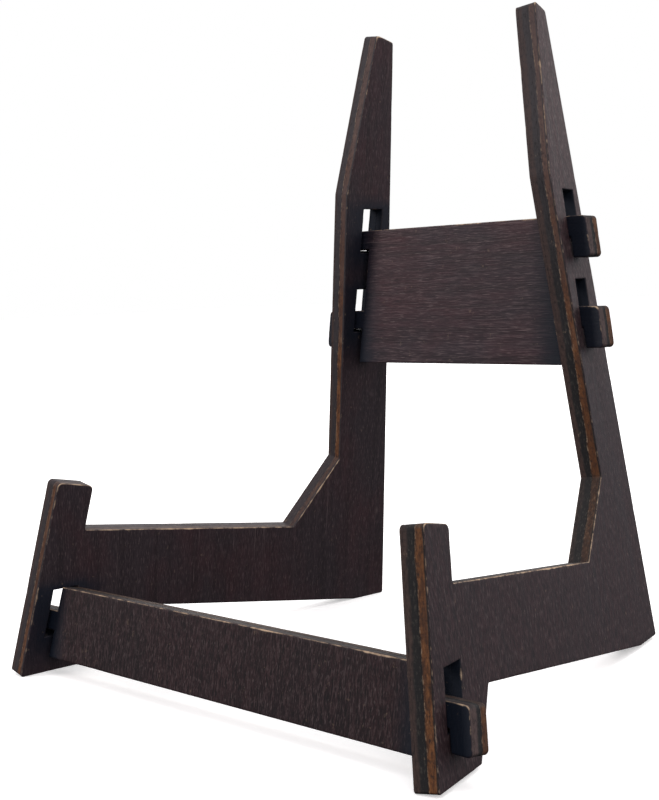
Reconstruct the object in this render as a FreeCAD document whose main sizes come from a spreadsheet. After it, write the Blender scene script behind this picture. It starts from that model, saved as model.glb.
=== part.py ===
import FreeCAD, Part
import Sketcher
import math
import os

# Plate display stand: two upright side boards joined by a rear and a front cross rail.
# Frame: +Z up, origin on the floor under the middle of the stand, front towards -Y.
# A side board is drawn flat in its own plane: X runs back along the floor from the tip of the
# front foot, Y runs up the board. A rail is drawn in the plane of its front face: X runs across
# the stand, Y runs up the face from floor level.

same_point = 0.001  # two points this close are one corner

document = FreeCAD.newDocument("plate_stand")
sheet = document.addObject("Spreadsheet::Sheet", "dims")

driving = [
    ("ply", 5.0, "thickness of every board"),
    ("toe", 9.0, "angle each side turns in towards the back, degrees"),
    ("lean_in", 8.0, "angle each side leans in towards the top, degrees"),
    ("floor_half", 55.7, "half the clear width between the front feet at the floor"),
    ("base_len", 109.5, "length of a side board along the floor"),
    ("post_height", 44.2, "height of the front post, up the board"),
    ("post_width", 9.15, "width of the front post"),
    ("shelf_front_height", 32.25, "shelf edge where it meets the post"),
    ("shelf_rear_inset", 32.65, "back end of the shelf, ahead of the board's back end"),
    ("shelf_rear_height", 23.8, "back end of the shelf, up the board"),
    ("arm_foot_inset", 18.3, "lower end of the arm's front edge, ahead of the board's back end"),
    ("arm_foot_height", 40.3, "lower end of the arm's front edge, up the board"),
    ("bend_inset", 20.6, "bend in the arm's front edge, ahead of the board's back end"),
    ("bend_height", 108.9, "bend in the arm's front edge, up the board"),
    ("tip_front_inset", 13.55, "front corner of the arm's tip, ahead of the board's back end"),
    ("tip_height", 148.75, "front corner of the arm's tip, up the board"),
    ("tip_rear_inset", 8.1, "back corner of the arm's tip, ahead of the board's back end"),
    ("tip_drop", 1.45, "how much lower the tip's back corner is"),
    ("front_foot_len", 16.2, "sole of the front foot"),
    ("rear_foot_len", 10.35, "sole of the back foot"),
    ("arch_reach", 23.25, "highest point of the arch under the board, along the floor"),
    ("arch_height", 12.5, "highest point of the arch under the board"),
    ("post_round", 1.2, "radius of the post's top corners"),
    ("tip_round", 0.8, "radius of the arm's tip corners"),
    ("foot_round", 0.6, "radius of the foot corners"),
    ("inner_round", 0.5, "radius left in the inside corners"),
    ("tab_round", 1.0, "radius of the outer tab corners"),
    ("slot_clearance", 0.15, "gap between a rail face and its slot wall"),
    ("rest_gap", 0.05, "gap between a tab's neck and the slot floor it rests on"),
    ("hook_clearance", 0.15, "gap between a hook and the side board"),
    ("lift_margin", 0.12, "play left at the end of a rail's lift"),
    ("rear_inset", 17.65, "rear rail's front face at floor level, ahead of the back feet"),
    ("rear_rake", 1.0, "angle the rear rail leans back, degrees"),
    ("rear_slot_floor", 94.3, "floor of the upper slot, up the board"),
    ("rear_slot_pitch", 20.6, "distance between the two slots in an arm"),
    ("rear_slot_spare", 0.59, "lift left over once the rear rail's hooks are free"),
    ("rear_neck", 4.7, "height of each neck on the rear rail"),
    ("rear_hook_drop", 4.7, "reach of each hook below its neck on the rear rail"),
    ("rear_hook_width", 4.5, "width of each hook on the rear rail"),
    ("rear_rail_height", 33.8, "height of the rear rail"),
    ("front_y", 5.0, "front rail's front face at floor level, behind the front feet"),
    ("front_rake", 10.0, "angle the front rail leans back, degrees"),
    ("front_slot_floor", 8.5, "floor of the slot in the post, up the board"),
    ("front_slot_spare", 0.35, "lift left over once the front rail's hooks are free"),
    ("front_neck", 4.5, "height of the neck on the front rail"),
    ("front_hook_drop", 4.1, "reach of the hook below its neck on the front rail"),
    ("front_hook_width", 4.5, "width of the hook on the front rail"),
    ("front_rail_top", 20.1, "top edge of the front rail, up its own face"),
    ("front_rail_height", 16.1, "height of the front rail"),
]

# For each rail: slope of its slots in the board, lean of the board's line across the rail face,
# sideways step of that line through the rail's thickness, and how far the rail lifts.
derived = [
    ("half_depth", "=(base_len * cos(toe * 1deg) + ply * cos(lean_in * 1deg) * sin(toe * 1deg)) / 2"),
    ("face_to_face", "=ply / (cos(lean_in * 1deg) * cos(toe * 1deg))"),
    ("rear_y", "=base_len * cos(toe * 1deg) - rear_inset"),
]
for rail in ("rear", "front"):
    rake = f"({rail}_rake * 1deg)"
    neck_floor = f"{rail}_slot_floor"
    if rail == "rear":
        neck_floor = "(rear_slot_floor - rear_slot_pitch)"
    derived += [
        (f"{rail}_slot_slope",
         f"=(sin(lean_in * 1deg) * sin(toe * 1deg) + tan({rake}) * cos(lean_in * 1deg)) / cos(toe * 1deg)"),
        (f"{rail}_slot_skew",
         f"=ply * (cos(lean_in * 1deg) * sin(toe * 1deg) - tan({rake}) * sin(lean_in * 1deg))"
         " / cos(toe * 1deg)"),
        (f"{rail}_slot_width",
         f"=(ply + 2 * slot_clearance) / (cos({rake}) * cos(toe * 1deg)) + {rail}_slot_skew"),
        (f"{rail}_side_slope",
         f"=tan(toe * 1deg) * sin({rake}) + tan(lean_in * 1deg) * cos({rake}) / cos(toe * 1deg)"),
        (f"{rail}_side_step",
         f"=ply * (tan(toe * 1deg) * cos({rake}) - tan(lean_in * 1deg) * sin({rake}) / cos(toe * 1deg))"),
        (f"{rail}_neck_floor",
         f"=({neck_floor} * cos(lean_in * 1deg) + ply * (sin(lean_in * 1deg) + sin({rake})) + rest_gap)"
         f" / cos({rake})"),
        (f"{rail}_lift", f"={rail}_hook_drop + rest_gap + {rail}_slot_spare"),
        (f"{rail}_slot_len",
         f"=({rail}_neck_floor + {rail}_neck + {rail}_lift + lift_margin)"
         f" * cos({rake}) / cos(lean_in * 1deg) - {neck_floor}"),
        (f"{rail}_side_gap", f"={rail}_side_slope * {rail}_lift + lift_margin + {rail}_side_step"),
        (f"{rail}_inner_half", f"=floor_half - {rail}_y * tan(toe * 1deg)"),
    ]
derived += [
    ("rear_neck_pitch", "=rear_slot_pitch * cos(lean_in * 1deg) / cos(rear_rake * 1deg)"),
    ("rear_rail_top", "=rear_neck_floor + rear_neck_pitch + rear_neck"),
    ("post_lean", "=sqrt(1 + front_slot_slope * front_slot_slope)"),
    ("post_rear_reach", "=(front_slot_slope * post_height) + post_width / post_lean"),
    ("post_rear_height", "=post_height - post_width * front_slot_slope / post_lean"),
]

row = 0
for alias, value, note in driving:
    row += 1
    sheet.set(f"A{row}", note)
    sheet.set(f"B{row}", str(value))
    sheet.setAlias(f"B{row}", alias)
for alias, formula in derived:
    row += 1
    sheet.set(f"B{row}", formula)
    sheet.setAlias(f"B{row}", alias)
document.recompute()


def origin_plane(body):
    for feature in body.Origin.OriginFeatures:
        if feature.Role == "XY_Plane":
            return feature


def value_of(owner, expression):
    result = owner.evalExpression(expression)
    return float(getattr(result, "Value", result))


def add_sketch(body, name):
    sketch = body.newObject("Sketcher::SketchObject", name)
    sketch.AttachmentSupport = [(origin_plane(body), "")]
    sketch.MapMode = "FlatFace"
    return sketch


def draw_polygon(sketch, name, corners):
    """Closed polygon whose every corner is placed by two expressions."""
    first = sketch.GeometryCount
    points = []
    for across, up in corners:
        points.append(FreeCAD.Vector(value_of(sketch, across), value_of(sketch, up), 0))
    count = len(points)
    for index in range(count):
        sketch.addGeometry(Part.LineSegment(points[index], points[(index + 1) % count]))
    for index in range(count):
        following = first + (index + 1) % count
        sketch.addConstraint(Sketcher.Constraint("Coincident", first + index, 2, following, 1))
    for index in range(count):
        placed = (("DistanceX", points[index].x, corners[index][0]),
                  ("DistanceY", points[index].y, corners[index][1]))
        for kind, number, expression in placed:
            constraint = sketch.addConstraint(
                Sketcher.Constraint(kind, -1, 1, first + index, 1, number))
            label = f"{name}_{index}_{kind[-1].lower()}"
            sketch.renameConstraint(constraint, label)
            sketch.setExpression(f"Constraints.{label}", expression)
    return points


def upright_edges(shape, points):
    """Names of the edges that run through the board at the given corners."""
    names = []
    for index, edge in enumerate(shape.Edges):
        if len(edge.Vertexes) != 2:
            continue
        start = edge.Vertexes[0].Point
        end = edge.Vertexes[1].Point
        if math.hypot(start.x - end.x, start.y - end.y) > same_point:
            continue
        for point in points:
            if math.hypot(start.x - point.x, start.y - point.y) < same_point:
                names.append(f"Edge{index + 1}")
    return names


def add_rounds(body, base, points, name, radius):
    edges = upright_edges(base.Shape, points)
    if len(edges) != len(points):
        raise RuntimeError(f"{body.Label} {name}: {len(edges)} edges for {len(points)} corners")
    rounds = body.newObject("PartDesign::Fillet", name)
    rounds.Base = (base, edges)
    rounds.setExpression("Radius", radius)
    document.recompute()
    return rounds


def slot_corners(rail, floor):
    """Slot that the rail's tab passes through, its walls along the line where the boards cross."""
    front = (f"(dims.{rail}_y / cos(dims.toe * 1deg) - dims.{rail}_slot_skew"
             f" - dims.slot_clearance / (cos(dims.toe * 1deg) * cos(dims.{rail}_rake * 1deg)))")
    top = f"({floor} + dims.{rail}_slot_len)"
    low = f"{front} + dims.{rail}_slot_slope * {floor}"
    high = f"{front} + dims.{rail}_slot_slope * {top}"
    return [
        (low, floor),
        (f"{low} + dims.{rail}_slot_width", floor),
        (f"{high} + dims.{rail}_slot_width", top),
        (high, top),
    ]


def add_side(label, side):
    """One side board; side is 1 on the right and -1 on the left."""
    body = document.addObject("PartDesign::Body", label)
    outline = add_sketch(body, f"{label}_outline")
    corners = [
        ("0", "0"),
        ("dims.front_slot_slope * dims.post_height", "dims.post_height"),
        ("dims.post_rear_reach", "dims.post_rear_height"),
        ("dims.post_rear_reach - dims.front_slot_slope * (dims.post_rear_height - dims.shelf_front_height)",
         "dims.shelf_front_height"),
        ("dims.base_len - dims.shelf_rear_inset", "dims.shelf_rear_height"),
        ("dims.base_len - dims.arm_foot_inset", "dims.arm_foot_height"),
        ("dims.base_len - dims.bend_inset", "dims.bend_height"),
        ("dims.base_len - dims.tip_front_inset", "dims.tip_height"),
        ("dims.base_len - dims.tip_rear_inset", "dims.tip_height - dims.tip_drop"),
        ("dims.base_len", "0"),
        ("dims.base_len - dims.rear_foot_len", "0"),
        ("dims.arch_reach", "dims.arch_height"),
        ("dims.front_foot_len", "0"),
    ]
    points = draw_polygon(outline, "outline", corners)
    board = body.newObject("PartDesign::Pad", f"{label}_board")
    board.Profile = outline
    board.setExpression("Length", "dims.ply")
    board.Reversed = side < 0
    document.recompute()

    slots = add_sketch(body, f"{label}_slots")
    floors = {
        "upper": ("rear", "dims.rear_slot_floor"),
        "lower": ("rear", "(dims.rear_slot_floor - dims.rear_slot_pitch)"),
        "post": ("front", "dims.front_slot_floor"),
    }
    for name, (rail, floor) in floors.items():
        draw_polygon(slots, name, slot_corners(rail, floor))
    cut = body.newObject("PartDesign::Pocket", f"{label}_slot_cut")
    cut.Profile = slots
    cut.Type = "ThroughAll"
    cut.SideType = "Symmetric"
    document.recompute()
    if cut.Shape.Volume >= board.Shape.Volume:
        raise RuntimeError(f"{label}: the slots cut nothing")

    last = add_rounds(body, cut, [points[1], points[2]], f"{label}_post_rounds", "dims.post_round")
    last = add_rounds(body, last, [points[7], points[8]], f"{label}_tip_rounds", "dims.tip_round")
    last = add_rounds(body, last, [points[0], points[9], points[12]], f"{label}_foot_rounds",
                      "dims.foot_round")
    add_rounds(body, last, [points[3], points[11]], f"{label}_inner_rounds", "dims.inner_round")
    turn = f"rotationz({side} * dims.toe) * rotationy({-side} * dims.lean_in)"
    upright = "rotation(vector(1; 1; 1); 120)"
    place = f"vector({side} * dims.floor_half; -dims.half_depth; 0)"
    body.setExpression("Placement", f"placement({place}; {turn} * {upright})")
    return body


def tab_corners(rail, floor):
    """Right-hand tab from the shoulder under its neck, round the hook, to the shoulder above it."""
    def inner(height):
        return f"(dims.{rail}_inner_half - dims.{rail}_side_gap - dims.{rail}_side_slope * {height})"

    def outer(height):
        return (f"(dims.{rail}_inner_half + dims.face_to_face + dims.hook_clearance"
                f" - dims.{rail}_side_slope * {height})")

    def end(height):
        return f"({outer(height)} + dims.{rail}_hook_width)"

    tip = f"({floor} - dims.{rail}_hook_drop)"
    top = f"({floor} + dims.{rail}_neck)"
    return [
        (inner(floor), floor),
        (outer(floor), floor),
        (outer(tip), tip),
        (end(tip), tip),
        (end(top), top),
        (inner(top), top),
    ], inner


def add_rail(label, rail, floors, bottom, top):
    """One cross rail; floors lists the underside of each neck from the lowest up."""
    body = document.addObject("PartDesign::Body", label)
    right = []
    rounded = []
    for floor in floors:
        tab, inner = tab_corners(rail, floor)
        if floor == floors[0]:
            right.append((inner(bottom), bottom))
        rounded += [len(right) + 3, len(right) + 4]
        right += tab
    if top is None:
        right.pop()
    else:
        right.append((inner(top), top))
    left = [(f"-{across}", up) for across, up in reversed(right)]
    outline = add_sketch(body, f"{label}_outline")
    points = draw_polygon(outline, "outline", right + left)
    board = body.newObject("PartDesign::Pad", f"{label}_board")
    board.Profile = outline
    board.setExpression("Length", "dims.ply")
    board.Reversed = True
    document.recompute()
    count = len(points)
    corners = []
    for index in rounded:
        corners += [points[index], points[count - 1 - index]]
    add_rounds(body, board, corners, f"{label}_tab_rounds", "dims.tab_round")
    place = f"vector(0; dims.{rail}_y - dims.half_depth; 0)"
    body.setExpression("Placement", f"placement({place}; rotationx(90 - dims.{rail}_rake))")
    return body


bodies = []
for label, side in (("left_side", -1), ("right_side", 1)):
    bodies.append(add_side(label, side))
bodies.append(add_rail(
    "rear_rail", "rear",
    ["dims.rear_neck_floor", "(dims.rear_neck_floor + dims.rear_neck_pitch)"],
    "(dims.rear_rail_top - dims.rear_rail_height)", None))
bodies.append(add_rail(
    "front_rail", "front", ["dims.front_neck_floor"],
    "(dims.front_rail_top - dims.front_rail_height)", "dims.front_rail_top"))
document.recompute()

for item in document.Objects:
    if "Invalid" in item.State or "Error" in item.State:
        raise RuntimeError(f"{item.Label}: {item.State}")
os.makedirs("parts", exist_ok=True)
for body in bodies:
    shape = body.Shape
    if shape.isNull() or not shape.isValid() or len(shape.Solids) != 1:
        raise RuntimeError(f"{body.Label}: the shape isn't one valid solid")
    shape.exportStep(f"parts/{body.Label}.step")
    box = shape.BoundBox
    print(f"{body.Label}: {shape.Volume:.0f} mm3, x {box.XMin:.2f} to {box.XMax:.2f},"
          f" y {box.YMin:.2f} to {box.YMax:.2f}, z {box.ZMin:.2f} to {box.ZMax:.2f}")
for rail in ("rear", "front"):
    print(f"{rail} rail lifts {float(sheet.get(rail + '_lift')):.3f} mm")
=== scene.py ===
import math

import bmesh
import bpy
import numpy as np
from mathutils import Matrix, Vector, noise
from mathutils.geometry import delaunay_2d_cdt


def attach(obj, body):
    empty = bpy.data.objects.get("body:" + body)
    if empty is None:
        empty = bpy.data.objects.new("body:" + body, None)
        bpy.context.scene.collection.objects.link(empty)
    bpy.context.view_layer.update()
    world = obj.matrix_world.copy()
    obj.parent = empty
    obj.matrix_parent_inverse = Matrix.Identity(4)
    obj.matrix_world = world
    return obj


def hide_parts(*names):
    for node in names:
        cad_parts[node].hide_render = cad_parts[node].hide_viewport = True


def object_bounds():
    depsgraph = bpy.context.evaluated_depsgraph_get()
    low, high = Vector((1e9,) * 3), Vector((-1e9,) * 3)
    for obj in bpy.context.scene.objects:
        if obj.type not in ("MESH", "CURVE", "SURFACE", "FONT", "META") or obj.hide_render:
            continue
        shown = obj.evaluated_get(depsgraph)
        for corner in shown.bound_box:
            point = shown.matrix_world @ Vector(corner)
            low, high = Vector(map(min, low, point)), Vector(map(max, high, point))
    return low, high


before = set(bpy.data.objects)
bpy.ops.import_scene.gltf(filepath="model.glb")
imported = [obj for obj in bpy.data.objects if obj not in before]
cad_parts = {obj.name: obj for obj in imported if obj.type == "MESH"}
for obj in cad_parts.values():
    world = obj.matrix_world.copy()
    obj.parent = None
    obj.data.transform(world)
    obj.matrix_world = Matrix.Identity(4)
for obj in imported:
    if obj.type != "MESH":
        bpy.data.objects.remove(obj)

cadLow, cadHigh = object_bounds()
mm = 0.001
print("frame loaded")


# A board's own axes: across its width, up its face, and out of the face it is read from.
# Depth is measured from that face into the wood.
def boardAxes(mesh, facing):
    areas = {}
    for face in mesh.faces:
        if face.normal.dot(facing) < 0.5:
            continue
        key = tuple(round(x, 2) for x in face.normal)
        areas[key] = areas.get(key, 0) + face.calc_area()
    broadest = max(areas, key=areas.get)
    out = Vector()
    for face in mesh.faces:
        if tuple(round(x, 2) for x in face.normal) == broadest:
            out += face.normal * face.calc_area()
    out.normalize()
    up = (Vector((0, 0, 1)) - out * out.z).normalized()
    return up.cross(out), up, out


# The loops round a board's broad face, each with the wood on its left.
def boardLoops(mesh, out, faceAt):
    near = 1e-6
    broad = []
    for face in mesh.faces:
        if face.normal.dot(out) > 0.999 and abs(face.verts[0].co.dot(out) - faceAt) < near:
            broad.append(face)
    following = {}
    for face in broad:
        for loop in face.loops:
            if not any(other in broad for other in loop.edge.link_faces if other is not face):
                following[loop.vert] = loop.link_loop_next.vert
    loops = []
    while following:
        vert = next(iter(following))
        chain = []
        while vert in following:
            chain.append(vert.co.copy())
            vert = following.pop(vert)
        loops.append(chain)
    return loops


# A loop's points in the order they had, but from its lowest one on.
def fromLowest(points):
    rounded = points.round(5)
    first = np.lexsort((rounded[:, 0], rounded[:, 1]))[0]
    return np.roll(points, -first, axis=0)


# A loop's place among its board's loops: the larger first, then the higher.
def loopOrder(points):
    return -np.ptp(points, axis=0).sum().round(5), -points[:, 1].mean()


# What is needed of a CAD board. Its outline is the first loop, and its slots follow.
def readBoard(node, facing):
    mesh = bmesh.new()
    mesh.from_mesh(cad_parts[node].data)
    bmesh.ops.remove_doubles(mesh, verts=mesh.verts, dist=1e-6)
    mesh.normal_update()
    across, up, out = boardAxes(mesh, Vector(facing))
    heights = [vert.co.dot(out) for vert in mesh.verts]
    faceAt = max(heights)
    loops = []
    for chain in boardLoops(mesh, out, faceAt):
        loops.append(fromLowest(np.array([(p.dot(across), p.dot(up)) for p in chain])))
    loops.sort(key=loopOrder)
    board = {"node": node, "across": across, "up": up, "out": out, "faceAt": faceAt,
             "thickness": faceAt - min(heights), "loops": loops}
    mesh.free()
    return board


# What the laser and handling left on every board's cut edges. Shares are of the thickness.
cutEdge = {
    "step": 0.55 * mm,  # spacing of points along an edge
    "arris": 0.26 * mm,  # radius worn onto each corner between a face and an edge
    "wornArris": 0.30 * mm,  # added to that radius where it's worn most
    "arrisSteps": 5,  # flats that make up that rounding
    "patches": (110, 1.2),  # worn patches in a metre of edge, and how worn they are
    "scuffs": (700, 0.4),  # finer scuffs in a metre, and how worn they are
    "cornerWear": 0.6,  # wear added at outer corners
    "farWear": 0.8,  # wear and painted highlight on the far arris, against 1 on the near one
    "leastBare": 0.45,  # bare wood where an arris is least worn, against 1 where it's most worn
    "slotWearAndHighlight": 0.10,  # stain rubbed off a slot's arrises, partly a painted highlight, from 0 to 1
    "topWearAndHighlight": 0.92,  # and off the arrises of an edge that faces up, partly a painted highlight
    "sheltered": 0.9,  # how much of its wear and painted highlight an edge that faces down is spared
    "amberLost": (0.75, 0.5),  # how much less amber shows on edges that face up, and down
    "wander": 0.045 * mm,  # how far an edge strays from its line
    "wanders": 130,  # times that it strays in a metre
    "plyLines": (0.42, 0.86),  # shares at which the plies meet
    "groove": 0.06 * mm,  # depth of the line where they meet
    "grooveWidth": 0.035,  # share that the line takes
    "between": (0.14, 0.28, 0.57, 0.72),  # shares at which more rings of points run
    "sway": 0.018,  # share by which a ring strays towards either face
    "sways": 60,  # times that it does so in a metre
    "rim": 0.45 * mm,  # flat strip kept round the broad faces
    "mesh": 2.6 * mm,  # spacing of points inside the broad faces
    "safe": 0.75,  # share used of the inset at which a corner would fold over itself
}


# Even spacing along a loop, its own corners kept.
def fineLoop(points, step):
    fine = []
    for index, start in enumerate(points):
        end = points[(index + 1) % len(points)]
        parts = max(1, round(np.hypot(*(end - start)) / step))
        for part in range(parts):
            fine.append(start + (end - start) * part / parts)
    return np.array(fine)


# The direction into the wood at each point, long enough to keep an inset even at corners, how
# sharply the outline turns there, and the largest inset that doesn't fold it over itself.
def inwards(points):
    slope = 0.6  # how fast the allowed inset may change along the outline
    ahead = np.roll(points, -1, axis=0) - points
    length = np.linalg.norm(ahead, axis=1)
    ahead /= length[:, None]
    behind = np.roll(ahead, 1, axis=0)
    leftAhead = np.stack([-ahead[:, 1], ahead[:, 0]], axis=1)
    leftBehind = np.stack([-behind[:, 1], behind[:, 0]], axis=1)
    cosine = (leftAhead * leftBehind).sum(axis=1)
    turn = behind[:, 0] * ahead[:, 1] - behind[:, 1] * ahead[:, 0]
    normal = (leftAhead + leftBehind) / (1 + cosine)[:, None]
    closing = ((normal - np.roll(normal, -1, axis=0)) * ahead).sum(axis=1)
    room = cutEdge["safe"] * length / np.maximum(closing, 1e-4)
    room = np.minimum(room, np.roll(room, 1))
    for sweep in range(12):  # enough for a tight corner's limit to reach its neighbours
        room = np.minimum(room, np.roll(room, -1) + slope * length)
        room = np.minimum(room, np.roll(room + slope * length, 1))
    return normal, turn, room


# How worn the arris is at each point, from 0 to 1: in patches, and more at outer corners.
def wearAlong(points, turn, seed):
    reach = 4  # how many points a worn corner spreads over
    patches, patchWear = cutEdge["patches"]
    scuffs, scuffWear = cutEdge["scuffs"]
    sharp = np.clip(turn * 2.5, 0, 1)  # 1 from a turn of about 24 degrees
    near = sharp.copy()
    for shift in range(1, reach):
        for way in (-shift, shift):
            near = np.maximum(near, np.roll(sharp, way) * (1 - shift / reach))
    wear = []
    for (x, y), corner in zip(points, near):
        patch = noise.noise(Vector((x * patches + seed, y * patches, seed)))
        scuff = noise.noise(Vector((x * scuffs, y * scuffs + seed, seed)))
        rubbing = max(0, patch * patchWear + scuff * scuffWear)
        wear.append(min(1, rubbing + corner * cutEdge["cornerWear"]))
    return np.array(wear)


# How each cut edge took its colour, by the way it faces: how much stain is rubbed off its
# arrises, partly a painted highlight, and how much amber shows. The walls of a slot get no amber; painted
# shade covers them later.
def edgeLook(points, normal, inSlot, choice):
    count = len(points)
    if inSlot:
        return np.full(count, cutEdge["slotWearAndHighlight"]), np.zeros(count)
    steep = 1.5  # an edge counts as facing up or down before it's quite level
    facing = -normal / np.linalg.norm(normal, axis=1)[:, None]
    upward = np.clip(facing[:, 1] * steep, 0, 1)
    downward = np.clip(-facing[:, 1] * steep, 0, 1)
    rubbedAndHighlight = choice["rubbedAndHighlight"] * (1 - cutEdge["sheltered"] * downward)
    rubbedAndHighlight = rubbedAndHighlight + (cutEdge["topWearAndHighlight"] - choice["rubbedAndHighlight"]) * upward
    low, high = points[:, 1].min(), points[:, 1].max()
    climb = (points[:, 1] - low) / (high - low)
    lostAbove, lostBelow = cutEdge["amberLost"]
    amber = choice["amber"] * (1 - lostAbove * upward - lostBelow * downward)
    return rubbedAndHighlight, np.clip(amber * (1 - choice["amberFade"] * climb), 0, 1)


# Painted shade, darkest at the joints: on a rail's tabs and the ends between them, and on the
# inner face of a side board round its slots. Each board's reach for it says how far it goes.
jointShade = {
    "railLead": 1.15,  # it starts this many reaches short of a rail's tabs
    "slotSpread": 1.25,  # and fades out this many reaches from a slot
    "aboveSlot": 3,  # times as fast above the slot
    "onSides": 0.88,  # the most of it at a slot, from 0 to 1
    "offCut": 0.85,  # how much of it cut edges are spared
    "cover": 0.94,  # share of the stain that it hides at its darkest
}


def paintedShadeAt(local, board, choice):
    u, v, depth = local.T
    reach = choice["shadeReach"]
    if choice["body"] != "sides":
        shoulder = bodyEnd(board["loops"][0])
        near = np.clip((np.abs(u) - shoulder) / reach + jointShade["railLead"], 0, 1)
        return near * near * (3 - 2 * near)
    paintedShade = np.zeros(len(local))
    inner = depth if choice["innerFaceDeep"] else board["thickness"] - depth
    for slot in board["loops"][1:]:
        low, high = slot.min(axis=0), slot.max(axis=0)
        awayU = np.maximum(np.maximum(low[0] - u, u - high[0]), 0)
        awayV = np.maximum(np.maximum(low[1] - v, (v - high[1]) * jointShade["aboveSlot"]), 0)
        near = np.clip(jointShade["slotSpread"] - np.hypot(awayU, awayV) / reach, 0, 1)
        paintedShade = np.maximum(paintedShade, jointShade["onSides"] * near * np.clip(inner / board["thickness"], 0, 1))
    return paintedShade


# How far from its middle a rail's body ends and its tabs begin: half the reach of its lower edge.
def bodyEnd(outline):
    lowest = outline[:, 1].min()
    return np.abs(outline[outline[:, 1] < lowest + 0.5 * mm, 0]).max()


# The rings of points from one broad face, round the cut edge, to the other. Each ring is
# inset, depth, how far it counts as cut edge, and how much stain is rubbed off it, partly a painted
# highlight.
def edgeRings(points, wear, rubbedAndHighlight, room, thickness, seed):
    count = len(points)
    radius = np.minimum(cutEdge["arris"] + cutEdge["wornArris"] * wear ** 2, room * cutEdge["safe"])
    least = cutEdge["leastBare"]
    sways, wanders = cutEdge["sways"], cutEdge["wanders"]
    rings = []
    none = np.zeros(count)
    steps = cutEdge["arrisSteps"]
    rings.append((np.minimum(radius + cutEdge["rim"], room), none, none, none))
    for index in range(steps + 1):
        angle = index / steps * math.pi / 2
        rounding = math.sin(math.pi * index / steps)
        rings.append((radius * (1 - math.sin(angle)), radius * (1 - math.cos(angle)),
                      none + index / steps, rounding * rubbedAndHighlight * (least + (1 - least) * wear)))
    half = cutEdge["grooveWidth"] / 2
    grooved = dict.fromkeys(cutEdge["between"], 0)
    for line in cutEdge["plyLines"]:
        grooved.update({line - half: 0, line: 1, line + half: 0})
    for share in sorted(grooved):
        depth = []
        inset = []
        for x, y in points:
            sway = noise.noise(Vector((x * sways, y * sways, share * 9 + seed)))
            strayed = noise.noise(Vector((x * wanders + seed, y * wanders, share * 2.5)))
            depth.append(thickness * (share + cutEdge["sway"] * sway))
            inset.append(cutEdge["wander"] * (0.5 + 0.5 * strayed) + cutEdge["groove"] * grooved[share])
        rings.append((np.array(inset), np.array(depth), none + 1, none))
    for inset, depth, cut, wearAndHighlight in reversed(rings[:steps + 2]):
        rings.append((inset, thickness - depth, cut, wearAndHighlight * cutEdge["farWear"]))
    return rings


# Which spots lie inside the outline and outside the slots.
def insideLoops(loops, spots):
    inside = np.zeros(len(spots), bool)
    for points in loops:
        following = np.roll(points, -1, axis=0)
        for (x1, y1), (x2, y2) in zip(points, following):
            crosses = (y1 > spots[:, 1]) != (y2 > spots[:, 1])
            if y1 != y2:
                at = x1 + (spots[:, 1] - y1) * (x2 - x1) / (y2 - y1)
                inside ^= crosses & (spots[:, 0] < at)
    return inside


# Triangles over a broad face, between the rims of its loops, with points of its own inside.
def fillFace(rims, spacing):
    low = rims[0].min(axis=0)
    high = rims[0].max(axis=0)
    grid = []
    for row in range(int((high[1] - low[1]) / spacing) + 2):
        for column in range(int((high[0] - low[0]) / spacing) + 2):
            grid.append(low + np.array([column + 0.5 * (row % 2), row]) * spacing)
    grid = np.array(grid)
    edgePoints = np.concatenate(rims)
    grid = grid[insideLoops(rims, grid)]
    gaps = np.array([np.hypot(*(edgePoints - spot).T).min() for spot in grid])
    grid = grid[gaps > spacing * 0.45]  # none so near an edge that its triangles are slivers
    spots = np.concatenate([edgePoints, grid])
    edges = []
    start = 0
    for rim in rims:
        size = len(rim)
        for index in range(size):
            edges.append((start + index, start + (index + 1) % size))
        start += size
    result = delaunay_2d_cdt([Vector(spot) / mm for spot in spots], edges, [], 0, 1e-6)
    places = [ids[0] for ids in result[3]]
    faces = np.array([[places[corner] for corner in face] for face in result[2]])
    middles = spots[faces].mean(axis=1)
    faces = faces[insideLoops(rims, middles)]
    return grid, faces


# A chip in the rear edge of a board's lowest slot.
nick = {
    "size": 0.75 * mm,
    "climb": 0.72,  # how far up the slot it is, from 0 to 1
    "stretch": 0.55,  # its width against its length up the slot
    "edge": 1.5,  # how many sizes from its middle it ends
}


# How much of the chip each point of a slot has, from 0 to 1.
def nickAt(points, loops, number):
    lowest = min(range(1, len(loops)), key=lambda index: loops[index][:, 1].mean())
    if number != lowest:
        return np.zeros(len(points))
    slot = loops[number]
    low, high = slot.min(axis=0), slot.max(axis=0)
    rear = slot[slot[:, 0] > (low[0] + high[0]) / 2]
    spot = np.array([rear[:, 0].max(), low[1] + nick["climb"] * (high[1] - low[1])])
    away = (points - spot) * np.array([1, nick["stretch"]])
    return np.clip(nick["edge"] - np.hypot(*away.T) / nick["size"], 0, 1)


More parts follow.
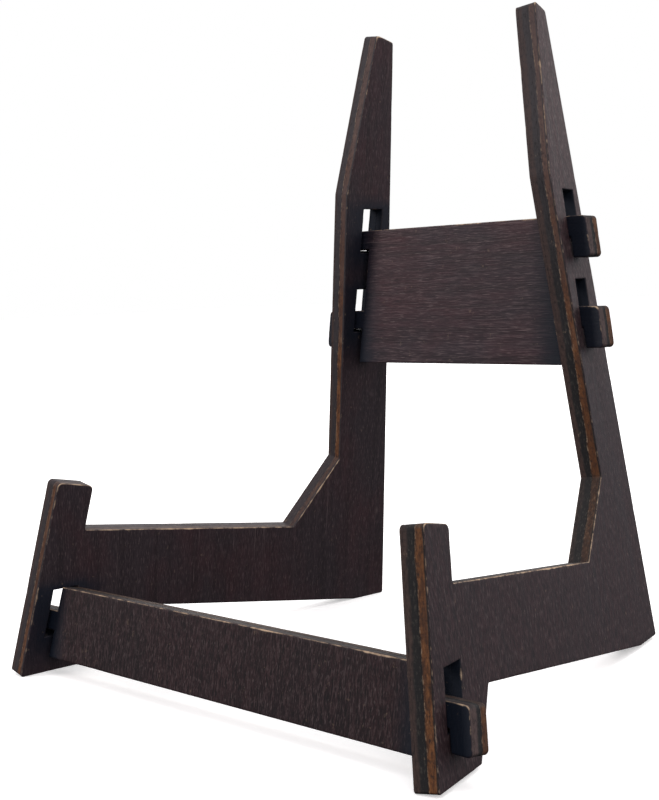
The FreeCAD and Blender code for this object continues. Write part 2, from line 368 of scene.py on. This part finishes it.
# One board as a mesh: cut edges with their plies, worn arrises and both broad faces.
def buildBoard(board, choice):
    across, up, out = board["across"], board["up"], board["out"]
    seed = choice["seed"]
    thickness = board["thickness"]
    verts = []
    faces = []
    marks = []
    topRims = []
    topIds = []
    lowIds = []
    for number, loop in enumerate(board["loops"]):
        points = fineLoop(loop, cutEdge["step"])
        normal, turn, room = inwards(points)
        wear = wearAlong(points, turn, seed + number)
        rubbedAndHighlight, amber = edgeLook(points, normal, number > 0, choice)
        if number > 0 and choice["nick"]:
            chipped = nickAt(points, board["loops"], number)
            wear = np.maximum(wear, chipped)
            rubbedAndHighlight = np.maximum(rubbedAndHighlight, chipped)
        rings = edgeRings(points, wear, rubbedAndHighlight, room, thickness, seed + number)
        count = len(points)
        first = len(verts)
        for inset, depth, cut, wearAndHighlight in rings:
            places = points + normal * inset[:, None]
            for index in range(count):
                verts.append((places[index][0], places[index][1], depth[index]))
                # The last mark starts as whether a point lies in a slot, whose walls get painted shade.
                marks.append((cut[index], wearAndHighlight[index], amber[index], float(number > 0)))
        for ring in range(len(rings) - 1):
            for index in range(count):
                here = first + ring * count + index
                beside = first + ring * count + (index + 1) % count
                faces.append((here, here + count, beside + count, beside))
        topRims.append(points + normal * rings[0][0][:, None])
        topIds += range(first, first + count)
        lowIds += range(first + (len(rings) - 1) * count, first + len(rings) * count)
    grid, fill = fillFace(topRims, cutEdge["mesh"])
    for ids, depth in ((topIds, 0.0), (lowIds, thickness)):
        ids += range(len(verts), len(verts) + len(grid))
        for spot in grid:
            verts.append((spot[0], spot[1], depth))
            marks.append((0.0, 0.0, 0.0, 0.0))
    for a, b, c in fill:
        faces.append((topIds[a], topIds[b], topIds[c]))
        faces.append((lowIds[c], lowIds[b], lowIds[a]))
    local = np.array(verts)
    turned = np.array([across, up, -out])
    origin = np.array(out) * board["faceAt"]
    mesh = bpy.data.meshes.new(board["node"] + "_board")
    mesh.from_pydata((local @ turned + origin).tolist(), [], faces)
    place = mesh.attributes.new("boardPlace", "FLOAT_VECTOR", "POINT")
    place.data.foreach_set("vector", local.ravel())
    marks = np.array(marks)
    # Painted shade: fading out from the joints, and full on the slot walls.
    paintedShade = paintedShadeAt(local, board, choice) * (1 - jointShade["offCut"] * marks[:, 0])
    marks[:, 3] = np.maximum(marks[:, 3] * marks[:, 0], paintedShade)
    for name, column in (("onCut", 0), ("wearAndHighlight", 1), ("amber", 2), ("paintedShade", 3)):
        mark = mesh.attributes.new(name, "FLOAT", "POINT")
        mark.data.foreach_set("value", marks[:, column])
    mesh.validate()
    mesh.shade_smooth()
    mesh.set_sharp_from_angle(angle=math.radians(32))  # keeps the outline's own corners crisp
    return mesh


# Small helpers for a node tree.
class Nodes:
    def __init__(self, owner):
        owner.use_nodes = True
        self.tree = owner.node_tree
        self.tree.nodes.clear()

    def add(self, kind, inputs=None, **settings):
        made = self.tree.nodes.new(kind)
        for name, value in settings.items():
            setattr(made, name, value)
        for name, value in (inputs or {}).items():
            if isinstance(value, bpy.types.NodeSocket):
                self.tree.links.new(value, made.inputs[name])
            else:
                made.inputs[name].default_value = value
        return made

    def maths(self, operation, first, second=0.0):
        return self.add("ShaderNodeMath", {0: first, 1: second}, operation=operation).outputs[0]

    def spread(self, value, low, high, toLow=0.0, toHigh=1.0):
        made = self.add("ShaderNodeMapRange", {"Value": value, "From Min": low, "From Max": high,
                                               "To Min": toLow, "To Max": toHigh}, clamp=True)
        return made.outputs["Result"]

    def mix(self, share, first, second, blend="MIX"):
        made = self.add("ShaderNodeMix", data_type="RGBA", blend_type=blend)
        for socket, value in ((made.inputs[0], share), (made.inputs[6], first), (made.inputs[7], second)):
            if isinstance(value, bpy.types.NodeSocket):
                self.tree.links.new(value, socket)
            else:
                socket.default_value = value if isinstance(value, float) else (*value, 1.0)
        return made.outputs[2]

    def grain(self, place, scale, detail=2.0, rough=0.55):
        scaled = self.add("ShaderNodeVectorMath", {0: place, 1: scale}, operation="MULTIPLY").outputs[0]
        made = self.add("ShaderNodeTexNoise", {"Vector": scaled, "Scale": 1.0, "Detail": detail,
                                               "Roughness": rough})
        return made.outputs["Fac"]


# Linear colours of the stain and of the wood that shows through it.
stain = {
    "plum": (0.0580, 0.0235, 0.0285),  # where the veneer took the stain warm
    "slate": (0.0360, 0.0250, 0.0310),  # where it took it cold
    "pore": (0.012, 0.008, 0.010),  # dark pores and streaks
    "fleck": (0.180, 0.130, 0.130),  # pale fibres standing out of the stain
    "char": (0.0120, 0.0110, 0.0115),  # burnt core of a cut edge
    "dusk": (0.0340, 0.0270, 0.0300),  # a core the laser only browned
    "armSheen": (0.0560, 0.0500, 0.0540),  # and the painted sheen on it high on the arms
    "ash": (0.062, 0.058, 0.048),  # grey fibres in the burnt core
    "amber": (0.225, 0.086, 0.026),  # scorched wood on the side the laser left
    "amberDeep": (0.075, 0.028, 0.012),  # where that charred
    "umber": (0.072, 0.043, 0.036),  # scorched wood on the side it entered
    "roseAndSheen": (0.125, 0.082, 0.076),  # the same on the rails, and painted sheen on the amber high on the arms
    "paintedShade": (0.0038, 0.0084, 0.0178),  # navy painted shade at the joints and in the slots
    "bare": (0.460, 0.330, 0.220),  # bare wood on rubbed arrises, also a painted highlight there
}


# The grain's patterns: marks in a metre across the grain and along it, then detail and
# roughness. The first three grow longer with a board's fibreLength.
grains = {
    "fibres": (3300, 560, 3.0, 0.68),
    "strokes": (3800, 760, 1.0, 0.55),
    "pores": (3800, 420, 1.0, 0.55),
    "streaks": (700, 22, 4.0, 0.60),
    "clouds": (62, 30, 3.0, 0.55),
    "blotches": (190, 120, 3.0, 0.60),
    "lines": (420, 3.0, 1.0, 0.55),
}

# What the grain brings to a face, in order: the pattern, its values where the colour starts and
# where it's fullest, how much of it, and the colour. All but the streaks go by openGrain.
faceLayers = (
    ("streaks", 0.56, 0.34, 0.50, "pore"),
    ("fibres", 0.54, 0.34, 0.85, "pore"),
    ("fibres", 0.52, 0.72, 0.60, "fleck"),
    ("strokes", 0.60, 0.74, 0.85, "fleck"),
    ("pores", 0.43, 0.30, 0.90, "pore"),
)

# The same for the amber of a cut edge.
amberLayers = (
    ("charring", 0.48, 0.64, 0.85, "amberDeep"),
    ("charring", 0.42, 0.30, 0.35, "bare"),
    ("clouds", 0.46, 0.62, 0.65, "amberDeep"),
)

# Heights up a side board, in metres, between which its look changes.
climbs = {
    "stain": (0.050, 0.115),  # painted shade low down, fading to its own tone
    "amberWidth": (0.040, 0.085),
    # Heights over which painted sheen pales the arms' cut edges.
    "sheenUpArms": (0.060, 0.118),
}


# One board's grain patterns. grainUp says that the grain runs up the board, not across it.
def grainPatterns(nodes, place, choice):
    short = 1 / choice["fibreLength"]
    made = {}
    for name, (fine, coarse, detail, rough) in grains.items():
        if name in ("fibres", "strokes", "pores"):
            coarse = coarse * short
        scale = (fine, coarse, fine) if choice["grainUp"] else (coarse, fine, fine)
        made[name] = nodes.grain(place, scale, detail, rough)
    made["grit"] = nodes.grain(place, (1500, 850, 2600), 3.0, 0.65)
    made["charring"] = nodes.grain(place, (900, 190, 900), 3.0, 0.6)
    return made


# Broad faces: warm and cold stain in clouds, darker streaks, then fibres, pores and a few
# long pale grain lines. The board's tone lightens or darkens all of it, and painted shade darkens the side
# boards low down.
def facePly(nodes, grain, height, choice):
    tinted = {}
    for key in ("plum", "slate", "pore", "fleck"):
        tinted[key] = tuple(choice["tone"] * value for value in stain[key])
    cold = nodes.maths("ADD", nodes.spread(grain["clouds"], 0.38, 0.62, 0.0, 0.65),
                       nodes.spread(grain["blotches"], 0.35, 0.65, choice["cold"], choice["cold"] + 0.35))
    face = nodes.mix(nodes.spread(cold, 0.0, 1.0), tinted["plum"], tinted["slate"])
    for pattern, start, full, most, colour in faceLayers:
        if pattern != "streaks":
            most = most * choice["openGrain"]
        face = nodes.mix(nodes.spread(grain[pattern], start, full, 0.0, most), face, tinted[colour])
    offLine = nodes.maths("ABSOLUTE", nodes.maths("SUBTRACT", grain["lines"], 0.56))
    face = nodes.mix(nodes.spread(offLine, 0.003, 0.0, 0.0, 0.5), face, tinted["fleck"])
    if choice["body"] == "sides":  # painted shade, darker low on the boards
        low = nodes.spread(height, *climbs["stain"], choice["lowShade"], 0.0)
        face = nodes.mix(low, face, tinted["pore"])
    return face


# Cut edges: amber, a line of pale flecks, the burnt core and an umber or rose lip, and painted
# sheen high on the arms. share is how far through the thickness a point is.
def edgePly(nodes, grain, height, share, amberShown, choice):
    grit = grain["grit"]
    blotches = grain["blotches"]
    onSides = choice["body"] == "sides"
    swayed = nodes.maths("ADD", share, nodes.spread(blotches, 0.25, 0.75, -0.06, 0.06))
    if onSides:  # the amber widens or narrows up the arms
        narrower = nodes.spread(height, *climbs["amberWidth"], 0.0, choice["narrowing"])
        swayed = nodes.maths("ADD", swayed, narrower)
    core = nodes.mix(nodes.spread(grit, 0.54, 0.74, 0.0, 0.8), stain[choice["core"]], stain["ash"])
    amber = nodes.mix(nodes.spread(grit, 0.32, 0.62), stain["amberDeep"], stain["amber"])
    for pattern, start, full, most, colour in amberLayers:
        amber = nodes.mix(nodes.spread(grain[pattern], start, full, 0.0, most), amber, stain[colour])
    if onSides:  # painted sheen: the arms' edges are paler and pinker towards their tips
        ragged = nodes.maths("ADD", height, nodes.spread(blotches, 0.3, 0.7, -0.012, 0.012))
        rise = nodes.spread(ragged, *climbs["sheenUpArms"], 0.0, 0.80)
        amber = nodes.mix(rise, amber, stain["roseAndSheen"])
        core = nodes.mix(rise, core, stain["armSheen"])
    near, far = choice["amberBand"]
    soft = 0.03  # how gradually the amber starts and ends
    inBand = nodes.maths("MULTIPLY", nodes.spread(swayed, far + soft, far - soft),
                         nodes.spread(share, near - soft, near + soft))
    edge = nodes.mix(nodes.maths("MULTIPLY", inBand, amberShown), core, amber)
    offBorder = nodes.maths("ABSOLUTE", nodes.maths("SUBTRACT", swayed, far))
    border = nodes.maths("MULTIPLY", nodes.spread(offBorder, 0.035, 0.010),
                         nodes.spread(grit, 0.48, 0.66, 0.0, 0.6))
    edge = nodes.mix(nodes.maths("MULTIPLY", border, amberShown), edge, stain["bare"])
    lip = nodes.spread(swayed, choice["lipStart"] - 0.05, choice["lipStart"] + 0.05)
    lipGrit = nodes.maths("MULTIPLY", amberShown, nodes.spread(grit, 0.3, 0.6, 0.5, 1.0))
    edge = nodes.mix(nodes.maths("MULTIPLY", lip, lipGrit), edge, stain[choice["lip"]])
    return nodes.mix(nodes.spread(grit, 0.45, 0.30, 0.0, 0.7), edge, stain["char"])


# Fibres and pores in relief on the faces, and the laser's fine ribs across the cut edges.
def plyRelief(nodes, grain, place, onCut):
    ribs = nodes.grain(place, (2300, 2300, 90), 2.0)
    relief = nodes.maths("ADD", nodes.maths("MULTIPLY", grain["fibres"], 0.8),
                         nodes.maths("MULTIPLY", grain["pores"], 0.6))
    cutRelief = nodes.maths("ADD", ribs, nodes.maths("MULTIPLY", grain["grit"], 0.7))
    rise = nodes.maths("ADD", nodes.maths("MULTIPLY", relief, nodes.maths("SUBTRACT", 1.0, onCut)),
                       nodes.maths("MULTIPLY", cutRelief, onCut))
    return nodes.add("ShaderNodeBump", {"Strength": 0.5, "Distance": 0.1 * mm, "Height": rise}).outputs[0]


# Stained plywood, coloured by the marks that buildBoard left on the mesh.
def stainedPly(name, thickness, choice):
    material = bpy.data.materials.new(name)
    nodes = Nodes(material)
    seed = choice["seed"]
    marks = {}
    for mark in ("onCut", "wearAndHighlight", "amber", "paintedShade"):
        marks[mark] = nodes.add("ShaderNodeAttribute", attribute_name=mark).outputs["Fac"]
    read = nodes.add("ShaderNodeAttribute", attribute_name="boardPlace").outputs["Vector"]
    place = nodes.add("ShaderNodeVectorMath", {0: read, 1: (seed * 0.31, seed * 0.17, 0)},
                      operation="ADD").outputs[0]
    parts = nodes.add("ShaderNodeSeparateXYZ", {0: read})
    height = parts.outputs["Y"]
    share = nodes.maths("DIVIDE", parts.outputs["Z"], thickness)
    grain = grainPatterns(nodes, place, choice)
    onCut = marks["onCut"]
    face = facePly(nodes, grain, height, choice)
    edge = edgePly(nodes, grain, height, share, marks["amber"], choice)
    colour = nodes.mix(nodes.spread(onCut, 0.35, 0.85), face, edge)
    # Painted shade in navy at the joints and in the slots.
    colour = nodes.mix(nodes.maths("MULTIPLY", marks["paintedShade"], jointShade["cover"]), colour, stain["paintedShade"])

    # Rubbed arrises: bare wood, broken up by chips and grit; partly wear, partly a painted highlight.
    chips = nodes.grain(place, (480, 480, 480), 2.0)
    bare = nodes.maths("ADD", marks["wearAndHighlight"], nodes.spread(chips, 0.3, 0.7, -0.24, 0.18))
    bare = nodes.maths("ADD", bare, nodes.spread(grain["grit"], 0.3, 0.7, -0.10, 0.10))
    colour = nodes.mix(nodes.spread(bare, 0.18, 0.62, 0.0, 0.95), colour, stain["bare"])

    roughness = nodes.maths("ADD", nodes.spread(grain["streaks"], 0.3, 0.7, 0.50, 0.62),
                            nodes.maths("MULTIPLY", onCut, 0.2))
    shader = nodes.add("ShaderNodeBsdfPrincipled", {"Base Color": colour, "Roughness": roughness,
                                                    "Normal": plyRelief(nodes, grain, place, onCut)})
    shader.inputs["Specular IOR Level"].default_value = 0.27
    output = nodes.add("ShaderNodeOutputMaterial")
    nodes.tree.links.new(shader.outputs[0], output.inputs["Surface"])
    return material


# The boards. The cut edge is amber next to the face that facing points to. cold turns the stain
# on the faces from plum to slate, and tone lightens or darkens it.
sideSlot = "side_board_ply"
railSlot = "rail_ply"
boards = {
    "left_side": {
        "facing": (1, 0, 0),
        "body": "sides",
        "slot": sideSlot,
        "grainUp": True,
        "fibreLength": 1.3,  # against the ordinary length of fibres and pores
        "openGrain": 0.42,  # how strongly fibres and pores show
        "tone": 0.92,
        "cold": 0.25,
        "lowShade": 0.14,  # how much painted shade darkens it low down
        "amber": 0.85,  # how strong the amber is
        "amberFade": 0.1,  # how much of it is lost by the top
        "amberBand": (0.12, 0.38),  # where it starts and ends, as shares of the thickness
        "narrowing": -0.10,  # share by which it narrows up the arm, or widens if below 0
        "core": "dusk",
        "lip": "umber",  # colour of the edge's other side
        "lipStart": 0.76,  # share of the thickness at which that begins
        "rubbedAndHighlight": 0.26,  # how much stain is rubbed off the arrises, partly a painted highlight
        "shadeReach": 7.0 * mm,
        "innerFaceDeep": False,  # whether the face towards the other side board is the deep one
        "nick": False,
        "seed": 3,
    },
    "right_side": {
        "facing": (1, 0, 0),
        "body": "sides",
        "slot": sideSlot,
        "grainUp": True,
        "fibreLength": 1.2,
        "openGrain": 1.2,
        "tone": 0.80,
        "cold": -0.50,
        "lowShade": 0.44,
        "amber": 1.0,
        "amberFade": 0.3,
        "amberBand": (0.08, 0.40),
        "narrowing": 0.09,
        "core": "char",
        "lip": "umber",
        "lipStart": 0.74,
        "rubbedAndHighlight": 0.40,
        "shadeReach": 7.0 * mm,
        "innerFaceDeep": True,
        "nick": True,
        "seed": 11,
    },
    "rear_rail": {
        "facing": (0, 1, 0),
        "body": "rear_rail",
        "slot": railSlot,
        "grainUp": False,
        "fibreLength": 2.2,
        "openGrain": 0.56,
        "tone": 1.3,
        "cold": 0.2,
        "amber": 0.85,
        "amberFade": 0.0,
        "amberBand": (0.05, 0.38),
        "core": "char",
        "lip": "roseAndSheen",
        "lipStart": 0.62,
        "rubbedAndHighlight": 0.30,
        "shadeReach": 8.0 * mm,
        "nick": False,
        "seed": 23,
    },
    "front_rail": {
        "facing": (0, 1, 0),
        "body": "front_rail",
        "slot": railSlot,
        "grainUp": True,
        "fibreLength": 1.0,
        "openGrain": 1.1,
        "tone": 0.49,
        "cold": -0.50,
        "amber": 0.9,
        "amberFade": 0.0,
        "amberBand": (0.05, 0.38),
        "core": "char",
        "lip": "roseAndSheen",
        "lipStart": 0.62,
        "rubbedAndHighlight": 0.30,
        "shadeReach": 6.0 * mm,
        "nick": False,
        "seed": 37,
    },
}

for node, choice in boards.items():
    board = readBoard(node, choice["facing"])
    mesh = buildBoard(board, choice)
    piece = bpy.data.objects.new(node + "_board", mesh)
    bpy.context.scene.collection.objects.link(piece)
    mesh.materials.append(stainedPly(node + "_stain", board["thickness"], choice))
    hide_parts(node)
    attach(piece, choice["body"])
    print(f"{node}: {len(mesh.vertices)} points, {len(mesh.polygons)} faces")


studio = {
    "floorSize": 8.0,
    "floorGap": 0.02 * mm,  # between the floor and the stand's lowest point
    "floorColour": (0.93, 0.93, 0.93),
    "backdrop": (1.0, 1.0, 1.0),
    "sky": (  # height of the sky, from -1 straight down to 1 straight up, and its light there
        (-1.0, (0.05, 0.05, 0.05)),
        (-0.40, (0.10, 0.10, 0.10)),
        (-0.16, (0.11, 0.12, 0.13)),
        (-0.05, (0.34, 0.39, 0.46)),
        (0.10, (0.76, 0.77, 0.80)),
        (0.30, (1.50, 1.45, 1.43)),
        (1.0, (0.80, 0.80, 0.80)),
    ),
    "brightSide": (0.85, 0.50, 0.0),  # the way from the stand to the brighter side of the room
    "brightLight": (1.38, 1.34, 1.34),
    "dimLight": (0.13, 0.16, 0.21),
    "floorLight": 0.42,  # light of its own that keeps the far floor pale
    "lamps": (  # place, size, power and colour of each soft lamp, aimed at the stand
        ((-0.60, -0.72, 0.50), 0.36, 5.0, (1.0, 0.92, 0.88)),
        ((0.10, 0.10, 1.20), 0.80, 5.0, (1.0, 0.98, 0.96)),
        ((-0.70, 0.75, 0.45), 0.50, 3.0, (1.0, 0.97, 0.95)),
    ),
    "aim": (0, 0, 0.06),
}


# The floor is lit and catches shadows, but throws no light back on the stand.
def addFloor():
    half = studio["floorSize"] / 2
    mesh = bpy.data.meshes.new("floor")
    corners = [(-half, -half, 0), (half, -half, 0), (half, half, 0), (-half, half, 0)]
    mesh.from_pydata(corners, [], [(0, 1, 2, 3)])
    floor = bpy.data.objects.new("floor", mesh)
    floor.location.z = cadLow.z - studio["floorGap"]
    floor.visible_diffuse = False
    floor.visible_glossy = False
    bpy.context.scene.collection.objects.link(floor)
    material = bpy.data.materials.new("floor_paint")
    nodes = Nodes(material)
    shader = nodes.add("ShaderNodeBsdfPrincipled")
    shader.inputs["Base Color"].default_value = (*studio["floorColour"], 1)
    shader.inputs["Roughness"].default_value = 0.9
    shader.inputs["Specular IOR Level"].default_value = 0.1
    shader.inputs["Emission Color"].default_value = (1, 1, 1, 1)
    shader.inputs["Emission Strength"].default_value = studio["floorLight"]
    output = nodes.add("ShaderNodeOutputMaterial")
    nodes.tree.links.new(shader.outputs[0], output.inputs["Surface"])
    mesh.materials.append(material)


# A sky that is brighter on one side, a plain backdrop behind the stand, and the soft lamps.
def addLights():
    world = bpy.data.worlds.new("studio")
    nodes = Nodes(world)
    direction = nodes.add("ShaderNodeTexCoord").outputs["Generated"]
    height = nodes.add("ShaderNodeSeparateXYZ", {0: direction}).outputs["Z"]
    ramp = nodes.add("ShaderNodeValToRGB", {0: nodes.spread(height, -1.0, 1.0)})
    while len(ramp.color_ramp.elements) < len(studio["sky"]):
        ramp.color_ramp.elements.new(0.5)
    for stop, (level, colour) in zip(ramp.color_ramp.elements, studio["sky"]):
        stop.position = (level + 1) / 2
        stop.color = (*colour, 1)
    toBright = nodes.add("ShaderNodeVectorMath", {0: direction, 1: studio["brightSide"]},
                         operation="DOT_PRODUCT").outputs["Value"]
    side = nodes.mix(nodes.spread(toBright, -1.0, 1.0), studio["dimLight"], studio["brightLight"])
    lit = nodes.mix(1.0, ramp.outputs[0], side, "MULTIPLY")
    light = nodes.add("ShaderNodeBackground", {"Color": lit})
    backdrop = nodes.add("ShaderNodeBackground", {"Color": (*studio["backdrop"], 1)})
    seen = nodes.add("ShaderNodeLightPath").outputs["Is Camera Ray"]
    both = nodes.add("ShaderNodeMixShader", {0: seen, 1: light.outputs[0], 2: backdrop.outputs[0]})
    output = nodes.add("ShaderNodeOutputWorld")
    nodes.tree.links.new(both.outputs[0], output.inputs["Surface"])
    bpy.context.scene.world = world
    for index, (place, size, power, colour) in enumerate(studio["lamps"]):
        lamp = bpy.data.lights.new(f"lamp{index}", "AREA")
        lamp.size = size
        lamp.energy = power
        lamp.color = colour
        holder = bpy.data.objects.new(lamp.name, lamp)
        holder.location = place
        holder.rotation_euler = (Vector(studio["aim"]) - Vector(place)).to_track_quat("-Z", "Y").to_euler()
        bpy.context.scene.collection.objects.link(holder)


# Where the camera stands, in metres, and which way it looks.
view = {
    "place": (0.18695, -0.2198, 0.0854),
    "turn": 42.71,  # degrees to the left of straight back
    "dip": 4.23,  # degrees below level
    "roll": -2.23,
    "lens": 58.27,  # millimetres
    "shift": (0.0329, -0.0223),  # of the frame's longer side
}


def addCamera():
    data = bpy.data.cameras.new("camera")
    data.lens = view["lens"]
    data.shift_x, data.shift_y = view["shift"]
    data.clip_start = 0.01
    camera = bpy.data.objects.new("camera", data)
    turn = Matrix.Rotation(math.radians(view["turn"]), 4, "Z")
    tilt = Matrix.Rotation(math.radians(90 - view["dip"]), 4, "X")
    roll = Matrix.Rotation(math.radians(view["roll"]), 4, "Z")
    camera.matrix_world = Matrix.Translation(view["place"]) @ turn @ tilt @ roll
    bpy.context.scene.collection.objects.link(camera)
    bpy.context.scene.camera = camera


addFloor()
addLights()
addCamera()
bpy.context.scene.view_settings.view_transform = "Standard"
print("studio ready")
